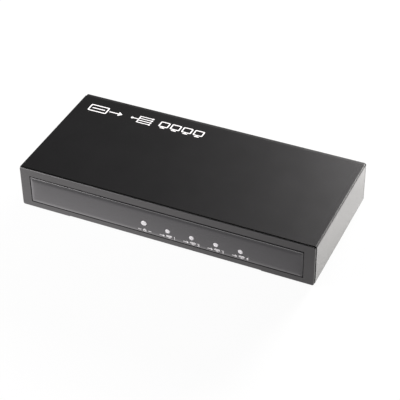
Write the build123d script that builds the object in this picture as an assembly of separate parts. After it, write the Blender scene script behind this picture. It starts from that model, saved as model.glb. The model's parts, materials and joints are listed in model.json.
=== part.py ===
from build123d import *
import os

os.makedirs("parts", exist_ok=True)

# Four-way video splitter box, in millimetres. +X is to the right seen from the front,
# -Y is the front, +Z is up. The origin is on the table under the middle of the box.

# The case as a whole
width = 175.0
depth = 80.0
top_height = 26.5
bezel_lift = 0.85
relief_height = 0.65
relief_half_length = 57.7
cover_proud_side = 0.35
cover_proud_top = 0.2

# Sheet metal
sheet = 0.8
inner_bend = 0.2
return_width = 8.0
collar_height = 2.0
collar_wall = 0.9

# Gaps and cutting
seam_gap = 0.1
front_seam = 0.4
fit_gap = 0.25
seat_gap = 0.05
hole_gap = 0.15
port_gap = 0.35
overrun = 1.0

# Front bezel
front_lip = 1.0
bezel_plate = 3.2
bezel_wall = 1.4
boss_length = 3.2
boss_radius = 2.6
rim_overlap = 0.8
bezel_edge_round = 0.5
bezel_top_corner = 1.0
bezel_bottom_corner = 1.2

# Label panel and its recess
recess_side_margin = 6.05
recess_top_margin = 4.45
recess_bottom_margin = 3.6
recess_depth = 0.8
label_gap = 0.4
label_edge = 0.7
label_slope_width = 1.9
label_slope_rise = 0.85

# Indicator lights
light_count = 4
light_pitch = 14.2
power_light_x = -10.8
light_rise = 3.0
power_light_lift = 1.15
output_window_radius = 1.4
power_window_radius = 1.65
window_collar = 0.6
window_collar_depth = 0.8
led_radius = 1.5
led_flange = 0.4
led_flange_depth = 1.0
led_lead = 0.5
led_lead_spread = 2.54
led_lead_run = 1.6
led_holder_depth = 1.2
led_holder_wall = 0.7

# Rear bezel
rear_lip = 2.0
rear_rim = 4.0
rear_corner = 1.0
rear_edge_round = 0.2
rear_face_margin = 3.0
rear_face_sink = 0.2

# Circuit board
board_thickness = 1.6
board_side_inset = 9.5
board_end_gap = 0.5
standoff_height = 3.0
standoff_flats = 5.0
standoff_shank_radius = 2.1
board_hole_inset = 4.0

# Screws: a thread is as wide as its hole less a thread gap
thread_hole_radius = 1.3
thread_gap = 0.05
clearance_hole_radius = 1.7
pan_head_radius = 2.75
pan_head_height = 1.8
flat_head_height = 0.9
screw_length = 4.4
drive_slot = 0.7
drive_slot_depth = 0.5
cover_screw_pitch = 48.0
bezel_screw_inset = 17.5
bezel_screw_rise = 6.5
bezel_screw_hole_radius = 0.95
bezel_screw_head_radius = 1.9
bezel_screw_head_height = 1.3
rear_screw_inset = 9.5
rear_screw_height = 14.0
rear_head_radius = 2.6
rear_head_depth = 1.3
rear_screw_length = 4.2

# Rubber feet
foot_radius = 5.0
foot_inset_x = 21.5
foot_inset_y = 12.0
foot_edge_round = 0.5

# Video sockets
output_count = 4
input_inset = 25.5
jack_inset = 23.5
opening_width = 14.0
opening_height = 4.55
opening_side = 2.6
opening_floor_width = 10.4
shell_wall = 0.4
shell_length = 11.2
mouth_setback = 0.2
shell_leg_width = 1.6
shell_leg_inset = 2.2
leg_reach = 0.9
tongue_width = 11.6
tongue_thickness = 1.3
tongue_setback = 1.6
core_depth = 3.4
core_back_gap = 0.3
upper_contact_count = 10
lower_contact_count = 9
contact_pitch = 1.0
contact_width = 0.4
contact_thickness = 0.15
contact_slot = 0.2
contact_tail_pitch = 0.35

# Power jack
jack_width = 9.0
jack_body_length = 11.4
jack_axis_rise = 6.5
jack_crown = 4.5
jack_nose_radius = 4.0
jack_bore_radius = 3.15
jack_bore_depth = 9.6
jack_pin_radius = 1.0
jack_pin_setback = 0.9
jack_root_radius = 1.2
jack_spring_width = 2.4
jack_spring_thickness = 0.4
jack_spring_length = 6.4
jack_tail = 1.0

# Splitter chip and its cooler
chip_side = 14.0
chip_height = 1.4
chip_lead_count = 16
chip_lead_pitch = 0.8
lead_width = 0.34
lead_thickness = 0.15
lead_shoulder = 0.55
lead_foot = 0.75
pad_thickness = 0.5
cooler_side = 20.0
cooler_base = 2.0
cooler_height = 8.0
fin_count = 7
fin_thickness = 1.0
chip_forward = 4.0

# Smaller electronics
package_length = 10.3
package_width = 7.5
package_height = 2.2
package_lead_count = 8
package_pitch = 1.27
memory_length = 4.9
memory_width = 3.9
memory_height = 1.5
memory_lead_count = 4
regulator_length = 6.5
regulator_width = 3.5
regulator_height = 1.7
regulator_lead_count = 3
regulator_pitch = 2.3
regulator_tab_width = 3.0
crystal_length = 11.0
crystal_width = 4.6
crystal_height = 3.6
coil_side = 7.0
coil_height = 4.0
coil_corner = 1.2
can_radius = 3.15
can_height = 7.0
can_base = 1.2
can_edge_round = 0.5
bead_length = 1.6
bead_width = 0.8
bead_height = 0.6
bead_count = 8
bead_pitch = 1.3
bead_row_gap = 3.2
guard_length = 2.5
guard_width = 1.2
guard_height = 0.6
guard_row_gap = 6.0
side_column = 34.0
power_column = 14.0
row_step = 13.0

# Heights, from the table up
cover_bottom = bezel_lift + relief_height
tray_underside = cover_bottom + sheet
tray_floor = tray_underside + sheet
board_bottom = tray_floor + standoff_height
board_top = board_bottom + board_thickness
part_seat = board_top + seat_gap
cover_top = top_height + cover_proud_top
sleeve_top = cover_top - sheet
rim_outer_top = sleeve_top - fit_gap
rim_inner_top = rim_outer_top - bezel_wall
wall_top = rim_inner_top - fit_gap
light_height = board_top + light_rise
socket_floor = part_seat + shell_wall
socket_height = socket_floor + opening_height / 2
jack_height = part_seat + jack_axis_rise

# Places from front to back
front = -depth / 2
back = depth / 2
plate_back = front + bezel_plate
seat_face = front + recess_depth
label_face = seat_face - label_edge - label_slope_rise
tray_front = plate_back + boss_length
tray_back = back - rear_lip - seam_gap
board_front = tray_front + sheet + board_end_gap
board_back = tray_back - sheet - board_end_gap
cover_front = front + front_lip + front_seam
cover_back = tray_back
rear_face = back - rear_face_sink
mouth = rear_face - mouth_setback
shell_back = mouth - shell_length
core_back = shell_back + core_back_gap
tongue_root = core_back + core_depth
tongue_front = mouth - tongue_setback
jack_shoulder = tray_back - sheet - seam_gap
jack_back = jack_shoulder - jack_body_length
jack_bore_floor = mouth - jack_bore_depth
led_tip = plate_back + window_collar_depth + hole_gap
led_flange_front = board_front + hole_gap + led_holder_depth + seat_gap

# Places from side to side
half = width / 2
cover_half = half + cover_proud_side
bend_radius = sheet + inner_bend
sleeve_half = cover_half - sheet
rim_outer_half = sleeve_half - fit_gap
rim_inner_half = rim_outer_half - bezel_wall
wall_half = rim_inner_half - fit_gap
floor_half = sleeve_half - fit_gap
board_half = half - board_side_inset
cover_screw_x = cover_half - return_width / 2
input_x = half - input_inset
jack_x = jack_inset - half
port_pitch = (input_x - jack_x) / (output_count + 1)
output_xs = [input_x - port_pitch * (number + 1) for number in range(output_count)]
socket_xs = [input_x] + output_xs
light_xs = [power_light_x + light_pitch * (number + 1) for number in range(light_count)]
power_light = (power_light_x, light_height + power_light_lift)
output_lights = [(x, light_height) for x in light_xs]
light_places = [power_light] + output_lights
thread_radius = thread_hole_radius - thread_gap
bezel_thread_radius = bezel_screw_hole_radius - thread_gap
board_hole_places = [
    (side * (board_half - board_hole_inset), y)
    for side in (-1, 1)
    for y in (board_front + board_hole_inset, board_back - board_hole_inset)
]
cover_screw_places = [
    (side * cover_screw_x, end * cover_screw_pitch / 2) for side in (-1, 1) for end in (-1, 1)
]
foot_places = [
    (side * (half - foot_inset_x), end * (depth / 2 - foot_inset_y)) for side in (-1, 1) for end in (-1, 1)
]
bezel_screw_xs = [bezel_screw_inset - half, half - bezel_screw_inset]
bezel_screw_height = board_top + bezel_screw_rise
rear_screw_xs = [rear_screw_inset - half, half - rear_screw_inset]


# Plain shapes

def block(x0, x1, y0, y1, z0, z1):
    """A box between two corners."""
    middle = Pos((x0 + x1) / 2, (y0 + y1) / 2, (z0 + z1) / 2)
    return middle * Box(x1 - x0, y1 - y0, z1 - z0)


def seated_block(x, y, z, length, breadth, height):
    """A box that stands on height z, with its middle over x and y."""
    return Pos(x, y, z + height / 2) * Box(length, breadth, height)


def rod_y(x, z, y0, y1, radius):
    """A round rod that runs from front to back."""
    return Pos(x, (y0 + y1) / 2, z) * Rot(X=90) * Cylinder(radius, y1 - y0)


def rod_z(x, y, z0, z1, radius):
    """A round upright rod."""
    return Pos(x, y, (z0 + z1) / 2) * Cylinder(radius, z1 - z0)


def wall_of(outline, y0, y1):
    """An outline drawn as seen from the front, made solid between two depths."""
    return extrude(Plane.XZ.offset(-y1) * outline, amount=y1 - y0, dir=(0, -1, 0))


def across(outline, x, breadth):
    """An outline drawn as seen from the right, made solid about x."""
    return Pos(x, 0, 0) * extrude(Plane.YZ * outline, amount=breadth / 2, both=True)


def group(pieces):
    """Separate solids that share one node."""
    return Compound(children=list(pieces))


# Case

def case_outline(top_corner, bottom_corner):
    """The outline of a bezel's rim, without the relief under it."""
    height = top_height - bezel_lift
    outline = Pos(0, bezel_lift + height / 2) * Rectangle(width, height)
    rows = outline.vertices().group_by(Axis.Y)
    outline = fillet(rows[-1], top_corner)
    return fillet(outline.vertices().group_by(Axis.Y)[0], bottom_corner)


def bottom_relief(y0, y1):
    """The shallow space under the middle of a bezel."""
    z1 = bezel_lift + relief_height
    return block(-relief_half_length, relief_half_length, y0 - overrun, y1 + overrun, 0, z1)


def rim(y0, y1, bottom):
    """A bezel's inner rim: two sides and a top that slip inside the sleeve."""
    outer = block(-rim_outer_half, rim_outer_half, y0, y1, bottom, rim_outer_top)
    inner = block(
        -rim_inner_half, rim_inner_half, y0 - overrun, y1 + overrun, bottom - overrun, rim_inner_top
    )
    return outer - inner


def top_cover():
    """The folded sleeve: a top, two sides and a return flange under each side."""
    height = cover_top - cover_bottom
    middle = Pos(0, cover_bottom + height / 2)
    outer = middle * RectangleRounded(2 * cover_half, height, bend_radius)
    inner = middle * RectangleRounded(2 * sleeve_half, height - 2 * sheet, inner_bend)
    slot = Pos(0, cover_bottom) * Rectangle(2 * (cover_half - return_width), 2 * sheet + overrun)
    sleeve = wall_of(outer - inner - slot, cover_front, cover_back)
    for x, y in cover_screw_places:
        sleeve -= rod_z(x, y, cover_bottom - overrun, tray_floor, clearance_hole_radius)
    return sleeve


def chassis_tray():
    """The inner tray: a floor on the return flanges, a front wall and a rear wall."""
    floor = block(-wall_half, wall_half, tray_front, tray_back, tray_underside, tray_floor)
    wing_front = tray_front + bend_radius + rim_overlap
    wing_back = tray_back - rear_rim
    floor += block(-floor_half, floor_half, wing_front, wing_back, tray_underside, tray_floor)
    walls = block(-wall_half, wall_half, tray_front, tray_front + sheet, tray_underside, wall_top)
    walls += block(-wall_half, wall_half, tray_back - sheet, tray_back, tray_underside, wall_top)
    tray = floor + walls
    bends = tray.edges().filter_by(Axis.X).group_by(Axis.Z)[0]
    bends = [edge for edge in bends if edge.length > 2 * wall_half - overrun]
    tray = fillet(bends, bend_radius)
    collar_radius = thread_hole_radius + collar_wall
    for x, y in cover_screw_places:
        tray += rod_z(x, y, tray_underside, tray_floor + collar_height, collar_radius)
        tray -= rod_z(x, y, 0, board_bottom, thread_hole_radius)
    for x in rear_screw_xs:
        tray += rod_y(x, rear_screw_height, tray_back - sheet - collar_height, tray_back, collar_radius)
        tray -= rod_y(x, rear_screw_height, board_back - board_hole_inset, back, thread_hole_radius)
    for x, y in board_hole_places:
        tray -= rod_z(x, y, 0, board_bottom, standoff_shank_radius + thread_gap)
    for x in bezel_screw_xs:
        hole = bezel_screw_hole_radius + hole_gap
        tray -= rod_y(x, bezel_screw_height, tray_front - overrun, board_front, hole)
    for x, z in light_places:
        tray -= rod_y(x, z, tray_front - overrun, board_front, led_radius + port_gap)
    return tray - rear_ports(tray_back - sheet - overrun, tray_back + overrun)


def label_recess():
    """The shallow recess in the front bezel, grown forwards by an overrun."""
    side = half - recess_side_margin
    z0 = bezel_lift + recess_bottom_margin
    z1 = top_height - recess_top_margin
    return block(-side, side, front - overrun, seat_face, z0, z1)


def front_bezel():
    """The front moulding: a rim, a recessed plate, a lip round it and screw bosses."""
    lip = wall_of(case_outline(bezel_top_corner, bezel_bottom_corner), front, front + front_lip)
    face_edges = lip.edges().group_by(Axis.Y)[0]
    lip = fillet(face_edges, bezel_edge_round)
    low = tray_underside + fit_gap
    step = tray_front - seam_gap
    plug = block(-rim_outer_half, rim_outer_half, front + front_lip, plate_back, low, rim_outer_top)
    sill = block(-rim_outer_half, rim_outer_half, plate_back, step, low, low + bezel_wall)
    bezel = lip + plug + sill
    bezel += rim(plate_back, step, low)
    bezel += rim(step, tray_front + sheet + rim_overlap, tray_floor + fit_gap)
    for x in bezel_screw_xs:
        bezel += rod_y(x, bezel_screw_height, plate_back, tray_front, boss_radius)
    bezel -= bottom_relief(front, front + front_lip)
    bezel -= label_recess()
    for x in bezel_screw_xs:
        pilot_front = seat_face + sheet
        bezel -= rod_y(x, bezel_screw_height, pilot_front, tray_front + overrun, bezel_screw_hole_radius)
    for x, z, radius in window_places():
        bezel -= rod_y(x, z, front, plate_back + overrun, radius + hole_gap)
    return bezel


def window_places():
    """The middle of each light window, across and up, and its radius."""
    return [(*power_light, power_window_radius)] + [
        (*place, output_window_radius) for place in output_lights
    ]


def front_label():
    """The glossy panel in the recess: a proud flat face with a long slope all round."""
    side = half - recess_side_margin - label_gap
    z0 = bezel_lift + recess_bottom_margin + label_gap
    z1 = top_height - recess_top_margin - label_gap
    panel = block(-side, side, seat_face - label_edge, seat_face, z0, z1)
    middle = Pos(0, (z0 + z1) / 2)
    wide = Plane.XZ.offset(label_edge - seat_face) * (middle * Rectangle(2 * side, z1 - z0))
    top_size = (2 * (side - label_slope_width), z1 - z0 - 2 * label_slope_width)
    narrow = Plane.XZ.offset(-label_face) * (middle * Rectangle(*top_size))
    panel += loft([wide, narrow])
    for x, z, radius in window_places():
        panel -= rod_y(x, z, front - overrun, seat_face + overrun, radius + hole_gap)
    return panel


def light_window(x, z, radius):
    """A clear plug that carries the light from one lamp to the face of the label."""
    plug = rod_y(x, z, label_face, plate_back, radius)
    collar_back = plate_back + window_collar_depth
    return plug + rod_y(x, z, plate_back, collar_back, radius + window_collar)


def rear_ports(y0, y1):
    """Tools for the openings that the sockets and the jack show through."""
    tools = []
    for x in socket_xs:
        shape = offset(socket_outline(), amount=shell_wall + port_gap, kind=Kind.INTERSECTION)
        tools.append(Pos(x, 0, 0) * wall_of(shape, y0, y1))
    tools.append(rod_y(jack_x, jack_height, y0, y1, jack_nose_radius + port_gap))
    return tools


def sunk_rear_face():
    """The shallow field round the sockets, where the rear markings are."""
    side = half - rear_face_margin
    z0 = bezel_lift + rear_face_margin
    z1 = top_height - rear_face_margin
    return block(-side, side, rear_face, back + overrun, z0, z1)


def rear_bezel():
    """The rear moulding: a plate with the openings for the sockets, and a rim."""
    plate = wall_of(case_outline(rear_corner, rear_corner), back - rear_lip, back)
    plate = fillet(plate.edges().group_by(Axis.Y)[-1], rear_edge_round)
    bezel = plate + rim(back - rear_lip - rear_rim, back - rear_lip, tray_floor + fit_gap)
    bezel -= bottom_relief(back - rear_lip, back)
    bezel -= sunk_rear_face()
    bezel -= rear_ports(back - rear_lip - overrun, back + overrun)
    for x in rear_screw_xs:
        hole = thread_radius + hole_gap
        bezel -= rod_y(x, rear_screw_height, back - rear_lip - overrun, back + overrun, hole)
        seat = Pos(x, rear_face - rear_head_depth / 2, rear_screw_height) * Rot(X=-90)
        bezel -= seat * Cone(hole, rear_head_radius + hole_gap, rear_head_depth)
    return bezel


def rubber_foot(x, y):
    """A round rubber foot stuck under the tray."""
    foot = rod_z(x, y, 0, tray_underside, foot_radius)
    return fillet(foot.edges().group_by(Axis.Z)[0], foot_edge_round)


# Fasteners

def pan_screw(head_radius, head_height, shank_radius, shank_length):
    """A pan-head screw along +Z, with the underside of its head at zero."""
    head = rod_z(0, 0, 0, head_height, head_radius)
    head = fillet(head.edges().group_by(Axis.Z)[-1], head_height / 2)
    shank = rod_z(0, 0, -shank_length, 0, shank_radius)
    shank = chamfer(shank.edges().group_by(Axis.Z)[0], shank_radius / 4)
    slot_floor = head_height - drive_slot_depth
    reach = head_radius * 2 / 3
    cross = block(-reach, reach, -drive_slot / 2, drive_slot / 2, slot_floor, head_height + overrun)
    return head + shank - cross - Rot(Z=90) * cross


def sunk_screw():
    """A countersunk screw along +Z, with the top of its head at zero."""
    head = Pos(0, 0, -rear_head_depth / 2) * Cone(thread_radius, rear_head_radius, rear_head_depth)
    shank = rod_z(0, 0, -rear_screw_length, -rear_head_depth / 2, thread_radius)
    cross = block(
        -rear_head_radius / 2, rear_head_radius / 2, -drive_slot / 2, drive_slot / 2,
        -drive_slot_depth, overrun,
    )
    return head + shank - cross - Rot(Z=90) * cross


def standoff(x, y):
    """A hexagonal threaded spacer, pressed into the tray."""
    prism = extrude(RegularPolygon(standoff_flats / 2, 6, major_radius=False), amount=standoff_height)
    spacer = Pos(x, y, tray_floor) * prism
    spacer += rod_z(x, y, tray_underside, tray_floor, standoff_shank_radius)
    return spacer - rod_z(x, y, 0, board_top, thread_hole_radius)


# Circuit board

def shell_leg_places():
    """Where the legs of one socket shell stand, about the socket's middle."""
    side = opening_width / 2 + shell_wall / 2
    return [(end * side, shell_back + shell_leg_inset) for end in (-1, 1)]


def jack_tail_places():
    """Where the tails of the power jack pass through the board."""
    return [
        (jack_x, jack_back - jack_tail / 2),
        (jack_x, jack_bore_floor + jack_spring_length / 2),
    ]


def main_board():
    """The bare circuit board with its holes."""
    board = block(-board_half, board_half, board_front, board_back, board_bottom, board_top)
    for x, y in board_hole_places:
        board -= rod_z(x, y, 0, top_height, clearance_hole_radius)
    slot_length = shell_leg_width + 2 * hole_gap
    slot_width = shell_wall + 2 * hole_gap
    for socket_x in socket_xs:
        for x, y in shell_leg_places():
            board -= seated_block(socket_x + x, y, 0, slot_width, slot_length, top_height)
    for x, y in jack_tail_places():
        board -= seated_block(x, y, 0, jack_tail + 2 * hole_gap, jack_tail + 2 * hole_gap, top_height)
    return board


# Video sockets, drawn about x = 0

def socket_outline():
    """The mouth of a socket: wide at the top, with its lower corners cut away."""
    top = socket_height + opening_height / 2
    bottom = socket_height - opening_height / 2
    wide = opening_width / 2
    narrow = opening_floor_width / 2
    corner = top - opening_side
    right = [(wide, top), (wide, corner), (narrow, bottom)]
    left = [(-x, z) for x, z in reversed(right)]
    return Polygon(*right, *left, align=None)


def socket_shell():
    """The folded metal shell of a socket and the legs that hold it to the board."""
    inside = socket_outline()
    outside = offset(inside, amount=shell_wall, kind=Kind.INTERSECTION)
    shell = wall_of(outside - inside, shell_back, mouth)
    for x, y in shell_leg_places():
        leg_top = socket_height + opening_height / 2 - opening_side / 2
        shell += block(
            x - shell_wall / 2, x + shell_wall / 2, y - shell_leg_width / 2, y + shell_leg_width / 2,
            board_bottom - leg_reach, leg_top,
        )
    return shell


def socket_core():
    """The black insulator of a socket: a plug at the back with a flat tongue."""
    plug = wall_of(offset(socket_outline(), amount=-seat_gap), core_back, tongue_root)
    half_tongue = tongue_width / 2
    z0 = socket_height - tongue_thickness / 2
    z1 = socket_height + tongue_thickness / 2
    core = plug + block(-half_tongue, half_tongue, tongue_root, tongue_front, z0, z1)
    for low in (z0 - contact_slot, z1):
        core -= block(
            -half_tongue, half_tongue, core_back - overrun, tongue_front + overrun, low, low + contact_slot
        )
    return core


def socket_contact(x, upper):
    """One bent contact: along the tongue, back through the plug and down to the board."""
    side = 1 if upper else -1
    near = socket_height + side * tongue_thickness / 2
    far = near + side * contact_thickness
    top = max(near, far)
    bottom = min(near, far)
    heel = shell_back - contact_tail_pitch * (2 if upper else 1)
    toe = heel - contact_thickness
    tip = tongue_front - tongue_setback / 2
    foot = part_seat
    outline = Polygon(
        (toe, foot), (toe, top), (tip, top), (tip, bottom), (heel, bottom), (heel, foot), align=None
    )
    return across(outline, x, contact_width)


def socket_contacts():
    """Both rows of contacts of a socket."""
    rows = [(upper_contact_count, True), (lower_contact_count, False)]
    contacts = []
    for count, upper in rows:
        first = -contact_pitch * (count - 1) / 2
        contacts += [socket_contact(first + contact_pitch * number, upper) for number in range(count)]
    return contacts


# Power jack

def jack_housing():
    """The black body of the power jack, with its round nose and bore."""
    low = part_seat
    high = jack_height + jack_crown
    side = jack_width / 2
    body = block(jack_x - side, jack_x + side, jack_back, jack_shoulder, low, high)
    body += rod_y(jack_x, jack_height, jack_shoulder, mouth, jack_nose_radius)
    body -= rod_y(jack_x, jack_height, jack_bore_floor, mouth + overrun, jack_bore_radius)
    pin_hole = jack_root_radius + thread_gap
    body -= rod_y(jack_x, jack_height, jack_back - overrun, jack_bore_floor, pin_hole)
    spring = jack_spring_width / 2 + hole_gap
    body -= block(
        jack_x - spring, jack_x + spring, jack_bore_floor - jack_spring_thickness - hole_gap,
        jack_bore_floor + jack_spring_length + hole_gap, low - overrun,
        jack_height - jack_bore_radius + jack_spring_thickness + hole_gap,
    )
    return body


def jack_center_pin():
    """The centre pin: a rod with a rounded tip, a thicker root and a tail behind the body."""
    tip = mouth - jack_pin_setback
    pin = rod_y(jack_x, jack_height, jack_bore_floor, tip, jack_pin_radius)
    pin = fillet(pin.edges().group_by(Axis.Y)[-1], jack_pin_radius / 2)
    y0 = jack_back - jack_tail
    pin += rod_y(jack_x, jack_height, y0, jack_bore_floor, jack_root_radius)
    half_tail = jack_tail / 2
    low = board_bottom - leg_reach
    y1 = jack_back - seat_gap
    return pin + block(jack_x - half_tail, jack_x + half_tail, y0, y1, low, jack_height)


def jack_spring():
    """The flat spring that bears on the plug from below, with its tail in the board."""
    z1 = jack_height - jack_bore_radius + jack_spring_thickness
    z0 = z1 - jack_spring_thickness
    side = jack_spring_width / 2
    y0 = jack_bore_floor - jack_spring_thickness
    y1 = jack_bore_floor + jack_spring_length
    leaf = block(jack_x - side, jack_x + side, y0, y1, z0, z1)
    x, y = jack_tail_places()[1]
    half_tail = jack_tail / 2
    low = board_bottom - leg_reach
    return leaf + block(x - half_tail, x + half_tail, y - half_tail, y + half_tail, low, z0)


# Lights

def led_body(x, z):
    """A round lamp lying on its side, with a domed tip and a flange."""
    round_start = led_tip + led_radius
    body = rod_y(x, z, round_start, led_flange_front, led_radius)
    body += Pos(x, round_start, z) * Sphere(led_radius)
    flange_back = led_flange_front + led_flange_depth
    return body + rod_y(x, z, led_flange_front, flange_back, led_radius + led_flange)


def led_lead_pair(x, z):
    """The two legs of a lamp, bent down into the board."""
    start = led_flange_front + led_flange_depth
    heel = start + led_lead_run
    z0 = z - led_lead / 2
    z1 = z + led_lead / 2
    inner = heel - led_lead
    outline = Polygon(
        (start, z0), (start, z1), (heel, z1), (heel, part_seat), (inner, part_seat), (inner, z0), align=None
    )
    reach = led_lead_spread / 2
    return [across(outline, x + side * reach, led_lead) for side in (-1, 1)]


def led_holder(x, z):
    """The block on the board's front edge that holds one lamp."""
    y1 = led_flange_front - seat_gap
    y0 = y1 - led_holder_depth
    reach = led_radius + led_flange + led_holder_wall
    holder = block(x - reach, x + reach, y0, y1, part_seat, z + reach)
    return holder - rod_y(x, z, y0 - overrun, y1 + overrun, led_radius + hole_gap)


# Electronics on the board

def lead_outline(body_side, shoulder_height):
    """One bent lead: out of the body, down, and flat onto the board."""
    leg = body_side + lead_shoulder
    toe = leg + lead_foot
    low = part_seat
    top = shoulder_height + lead_thickness
    return Polygon(
        (body_side, top), (leg + lead_thickness, top), (leg + lead_thickness, low + lead_thickness),
        (toe, low + lead_thickness), (toe, low), (leg, low), (leg, shoulder_height),
        (body_side, shoulder_height), align=None,
    )


def lead_rows(x, y, body_side, body_height, count, pitch, turns):
    """Rows of leads on the sides of a package, one row for each turn."""
    shoulder = part_seat + body_height / 2
    outline = lead_outline(body_side, shoulder)
    first = -pitch * (count - 1) / 2
    row = [across(outline, first + pitch * number, lead_width) for number in range(count)]
    return [Pos(x, y, 0) * Rot(Z=turn) * lead for turn in turns for lead in row]


def chip_place():
    """The middle of the splitter chip."""
    return 0, (board_front + shell_back) / 2 + chip_forward


def splitter_chip():
    """The square chip that repeats the picture signal to all outputs."""
    x, y = chip_place()
    body = seated_block(x, y, part_seat, chip_side, chip_side, chip_height)
    return chamfer(body.edges().filter_by(Axis.Z), chip_height / 2)


def splitter_chip_leads():
    """The leads on all four sides of the splitter chip."""
    x, y = chip_place()
    turns = (0, 90, 180, 270)
    return lead_rows(x, y, chip_side / 2, chip_height, chip_lead_count, chip_lead_pitch, turns)


def thermal_pad():
    """The soft pad between the chip and its cooler."""
    x, y = chip_place()
    return seated_block(x, y, part_seat + chip_height, chip_side, chip_side, pad_thickness)


def heat_sink():
    """The finned cooler on the splitter chip."""
    x, y = chip_place()
    z = part_seat + chip_height + pad_thickness
    cooler = seated_block(x, y, z, cooler_side, cooler_side, cooler_base)
    step = (cooler_side - fin_thickness) / (fin_count - 1)
    first = x - (cooler_side - fin_thickness) / 2
    for number in range(fin_count):
        cooler += seated_block(first + step * number, y, z, fin_thickness, cooler_side, cooler_height)
    return cooler


def small_part_row(count, pitch, y, length, breadth, height):
    """A row of small parts in front of every socket."""
    first = -pitch * (count - 1) / 2
    return [
        seated_block(x + first + pitch * number, y, part_seat, breadth, length, height)
        for x in socket_xs
        for number in range(count)
    ]


def crystal():
    """The oval metal can of the clock crystal."""
    x, y = -side_column, chip_place()[1] + row_step / 2
    outline = SlotOverall(crystal_length, crystal_width)
    return Pos(x, y, part_seat) * extrude(outline, amount=crystal_height)


def power_coil():
    """The square choke of the power supply."""
    x, y = jack_x + power_column, chip_place()[1]
    body = seated_block(x, y, part_seat, coil_side, coil_side, coil_height)
    return fillet(body.edges().filter_by(Axis.Z), coil_corner)


def filter_capacitor(x, y):
    """A round aluminium can on a square plastic base."""
    base = seated_block(x, y, part_seat, 2 * can_radius, 2 * can_radius, can_base)
    can = rod_z(x, y, part_seat + can_base, part_seat + can_height, can_radius - seat_gap)
    can = fillet(can.edges().group_by(Axis.Z)[-1], can_edge_round)
    return base + can


def regulator_places():
    """The middles of the two voltage regulators."""
    y = chip_place()[1]
    return [(jack_x, y - row_step / 2), (jack_x, y + row_step / 2)]


def regulator_leads_of(x, y):
    """Three leads on one side of a regulator and a wide tab on the other."""
    leads = lead_rows(
        x, y, regulator_width / 2, regulator_height, regulator_lead_count, regulator_pitch, (180,)
    )
    outline = lead_outline(regulator_width / 2, part_seat + regulator_height / 2)
    return leads + [Pos(x, y, 0) * across(outline, 0, regulator_tab_width)]


# Every node: its name and its solid or group of solids

def screw_up(x, y, z):
    """Turns a screw over, so that it goes in from below."""
    return Pos(x, y, z) * Rot(X=180)


def nodes():
    """All nodes of the box by name."""
    board_screw = pan_screw(pan_head_radius, pan_head_height, thread_radius, screw_length)
    cover_screw = pan_screw(pan_head_radius, flat_head_height, thread_radius, screw_length)
    bezel_screw = pan_screw(
        bezel_screw_head_radius, bezel_screw_head_height, bezel_thread_radius, screw_length
    )
    bezel_screw_seat = tray_front + sheet
    chip_x, chip_y = chip_place()
    control = (side_column, chip_y + row_step / 2)
    memory = (side_column, chip_y - row_step / 2)
    can_x = jack_x + power_column
    cans = [(can_x, chip_y + row_step), (can_x, chip_y - row_step)]
    beads_y = shell_back - bead_row_gap
    guards_y = shell_back - guard_row_gap

    found = {
        "top_cover": top_cover(),
        "chassis_tray": chassis_tray(),
        "front_bezel": front_bezel(),
        "front_label": front_label(),
        "power_window": light_window(*power_light, power_window_radius),
        "output_windows": group(light_window(*place, output_window_radius) for place in output_lights),
        "rear_bezel": rear_bezel(),
        "rubber_feet": group(rubber_foot(x, y) for x, y in foot_places),
        "main_board": main_board(),
        "board_standoffs": group(standoff(x, y) for x, y in board_hole_places),
        "board_screws": group(Pos(x, y, board_top) * board_screw for x, y in board_hole_places),
        "cover_screws": group(screw_up(x, y, cover_bottom) * cover_screw for x, y in cover_screw_places),
        "front_bezel_screws": group(
            Pos(x, bezel_screw_seat, bezel_screw_height) * Rot(X=-90) * bezel_screw
            for x in bezel_screw_xs
        ),
        "rear_bezel_screws": group(
            Pos(x, rear_face, rear_screw_height) * Rot(X=-90) * sunk_screw() for x in rear_screw_xs
        ),
        "power_led": led_body(*power_light),
        "output_leds": group(led_body(*place) for place in output_lights),
        "led_legs": group(leg for place in light_places for leg in led_lead_pair(*place)),
        "led_holders": group(led_holder(*place) for place in light_places),
        "power_jack_housing": jack_housing(),
        "power_jack_center_pin": jack_center_pin(),
        "power_jack_spring": jack_spring(),
        "splitter_chip": splitter_chip(),
        "splitter_chip_leads": group(splitter_chip_leads()),
        "thermal_pad": thermal_pad(),
        "heat_sink": heat_sink(),
        "control_chip": seated_block(*control, part_seat, package_length, package_width, package_height),
        "control_chip_leads": group(
            lead_rows(
                *control, package_width / 2, package_height, package_lead_count, package_pitch, (0, 180)
            )
        ),
        "memory_chip": seated_block(*memory, part_seat, memory_length, memory_width, memory_height),
        "memory_chip_leads": group(
            lead_rows(*memory, memory_width / 2, memory_height, memory_lead_count, package_pitch, (0, 180))
        ),
        "voltage_regulators": group(
            seated_block(x, y, part_seat, regulator_length, regulator_width, regulator_height)
            for x, y in regulator_places()
        ),
        "regulator_leads": group(
            lead for x, y in regulator_places() for lead in regulator_leads_of(x, y)
        ),
        "clock_crystal": crystal(),
        "power_coil": power_coil(),
        "filter_capacitors": group(filter_capacitor(x, y) for x, y in cans),
        "line_resistors": group(
            small_part_row(bead_count, bead_pitch, beads_y, bead_length, bead_width, bead_height)
        ),
        "surge_guards": group(
            small_part_row(2, 2 * guard_length, guards_y, guard_width, guard_length, guard_height)
        ),
    }
    names = ["input_socket"] + [f"output_{number + 1}_socket" for number in range(output_count)]
    shell = socket_shell()
    core = socket_core()
    contacts = socket_contacts()
    for name, x in zip(names, socket_xs):
        found[f"{name}_shell"] = Pos(x, 0, 0) * shell
        found[f"{name}_core"] = Pos(x, 0, 0) * core
        found[f"{name}_contacts"] = group(Pos(x, 0, 0) * contact for contact in contacts)
    return found


for name, shape in nodes().items():
    export_step(shape, f"parts/{name}.step")
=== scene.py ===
import json
import math

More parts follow.
